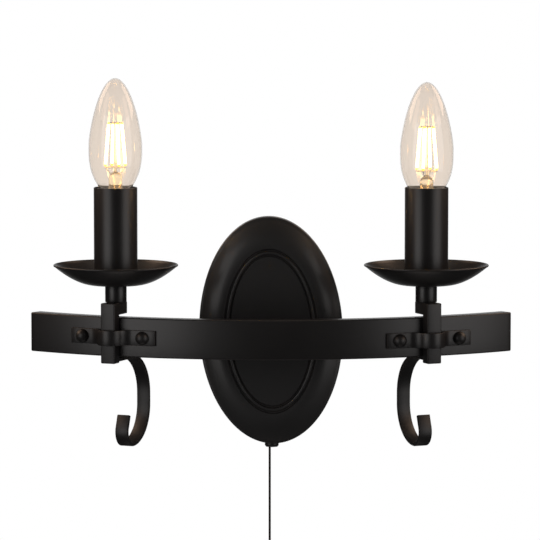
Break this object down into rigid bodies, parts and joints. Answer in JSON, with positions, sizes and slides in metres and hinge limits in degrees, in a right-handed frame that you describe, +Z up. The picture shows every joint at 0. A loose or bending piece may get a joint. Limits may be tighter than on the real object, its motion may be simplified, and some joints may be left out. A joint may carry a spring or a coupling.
{
  "type": "wall light",
  "caption": "Black wall lamp: a bowed bar on an oval plate carries candle lights in drip pans, with scroll hooks below and a pull-cord switch.",
  "frame": {"origin": "in the wall plane, at the middle of the bracket's two wall screws, level with the middle of the bar", "axes": "+Z up, +X to the right seen from the room, +Y into the wall"},
  "size_m": [0.32, 0.0864, 0.3937],
  "materials": {
    "satin_black": "satin black paint over steel",
    "zinc_steel": "zinc plated",
    "brass": "plain brass",
    "black_plastic": "moulded",
    "ivory_plastic": "moulded",
    "cord_black": "braided",
    "wire_brown": "insulated wire",
    "wire_green": "insulated wire",
    "clear_glass": "clear",
    "nickel": "nickel plated",
    "filament": "glowing"
  },
  "bodies": {
    "root": {"wall_bracket": "zinc_steel", "earth_screw": "brass", "backplate": "satin_black", "backplate_side_screws": "satin_black", "spacer_tube": "satin_black", "centre_nipple": "zinc_steel", "centre_nut": "zinc_steel", "bar": "satin_black", "terminal_block": "ivory_plastic", "terminal_screws": "brass", "switch_wires": "wire_brown", "earth_wire": "wire_green", "switch_housing": "black_plastic", "switch_cover": "black_plastic", "switch_neck_nut": "satin_black", "switch_spring": "zinc_steel", "switch_contacts": "brass", "left_feed_wires": "wire_brown", "right_feed_wires": "wire_brown", "left_clamp": "satin_black", "right_clamp": "satin_black", "left_hook": "satin_black", "right_hook": "satin_black", "left_clip": "satin_black", "right_clip": "satin_black", "left_clip_rivets": "satin_black", "right_clip_rivets": "satin_black", "left_stem_collar": "satin_black", "right_stem_collar": "satin_black", "left_stem_nipple": "zinc_steel", "right_stem_nipple": "zinc_steel", "left_stem_nut": "zinc_steel", "right_stem_nut": "zinc_steel", "left_drip_pan": "satin_black", "right_drip_pan": "satin_black", "left_candle_tube": "satin_black", "right_candle_tube": "satin_black", "left_lampholder": "ivory_plastic", "right_lampholder": "ivory_plastic", "left_holder_contacts": "brass", "right_holder_contacts": "brass"},
    "pull_switch": {"switch_plunger": "ivory_plastic", "pull_cord": "cord_black", "pull_knob": "satin_black"},
    "left_bulb_contact": {"left_bulb_tip": "nickel"},
    "left_bulb": {"left_bulb_glass": "clear_glass", "left_bulb_cap": "nickel", "left_bulb_insulator": "black_plastic", "left_bulb_stem": "clear_glass", "left_bulb_filaments": "filament", "left_bulb_wires": "nickel"},
    "right_bulb_contact": {"right_bulb_tip": "nickel"},
    "right_bulb": {"right_bulb_glass": "clear_glass", "right_bulb_cap": "nickel", "right_bulb_insulator": "black_plastic", "right_bulb_stem": "clear_glass", "right_bulb_filaments": "filament", "right_bulb_wires": "nickel"}
  },
  "joints": [
    {"name": "cord_pull", "type": "slide", "parent": "root", "child": "pull_switch", "axis": [0, 0, -1], "range_m": [0, 0.006], "stiffness_N_per_m": 300, "springref_m": -0.002, "deforming": ["switch_spring"]},
    {"name": "left_bulb_lift", "type": "slide", "parent": "root", "child": "left_bulb_contact", "axis": [0, 0, 1], "range_m": [0, 0.00846]},
    {"name": "left_bulb_turn", "type": "hinge", "parent": "left_bulb_contact", "child": "left_bulb", "pos_m": [-0.102, -0.04389, 0.1], "axis": [0, 0, 1], "range_deg": [0, 1080]},
    {"name": "right_bulb_lift", "type": "slide", "parent": "root", "child": "right_bulb_contact", "axis": [0, 0, 1], "range_m": [0, 0.00846]},
    {"name": "right_bulb_turn", "type": "hinge", "parent": "right_bulb_contact", "child": "right_bulb", "pos_m": [0.102, -0.04389, 0.1], "axis": [0, 0, 1], "range_deg": [0, 1080]}
  ],
  "couplings": [
    {"joint": "left_bulb_turn", "follows": "left_bulb_lift", "rad_per_m": 2228.1},
    {"joint": "right_bulb_turn", "follows": "right_bulb_lift", "rad_per_m": 2228.1}
  ]
}
